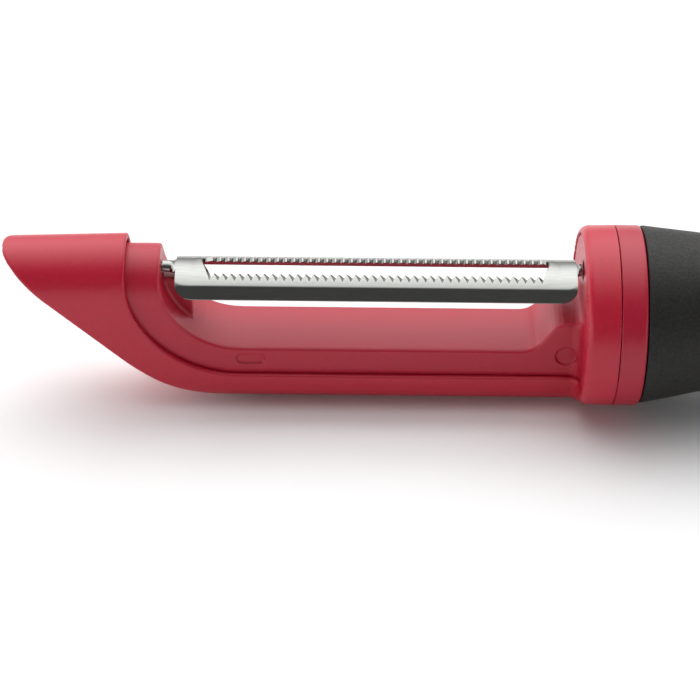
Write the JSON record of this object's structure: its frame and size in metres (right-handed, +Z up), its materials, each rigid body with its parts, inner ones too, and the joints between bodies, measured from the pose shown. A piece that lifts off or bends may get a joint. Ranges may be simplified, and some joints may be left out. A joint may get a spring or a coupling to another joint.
{
  "type": "apple peeler corer",
  "caption": "Straight hand peeler with a swivelling serrated half-tube blade, a hollow pointed coring nose and a soft tapered grip.",
  "frame": {"origin": "centre of the bounding box's base, on the surface the tool lies on", "axes": "+X from the coring nose to the handle's end, +Z up through the blade, which faces up"},
  "size_m": [0.213, 0.03, 0.03],
  "materials": {
    "red_shell": "satin red moulded plastic",
    "red_carrier": "satin red moulded plastic with a fine grain",
    "red_collar": "satin red moulded plastic",
    "blade_steel": "satin stainless sheet with ground teeth",
    "pin_steel": "bright drawn wire",
    "core_plastic": "black moulded plastic",
    "black_rubber": "soft matte rubber with a fine speckled grain"
  },
  "bodies": {
    "handle_frame": {"outer_shell": "red_shell", "blade_carrier": "red_carrier", "front_pivot_pin": "pin_steel", "rear_pivot_pin": "pin_steel", "handle_collar": "red_collar", "handle_core": "core_plastic", "tang_cross_pin": "pin_steel", "soft_grip": "black_rubber", "hanging_eyelet": "core_plastic"},
    "blade": {"swivel_blade": "blade_steel"}
  },
  "joints": [
    {"name": "blade_swivel", "type": "hinge", "parent": "handle_frame", "child": "blade", "pos_m": [-0.0448, 0, 0.0239], "axis": [1, 0, 0], "range_deg": [-35, 35]}
  ]
}
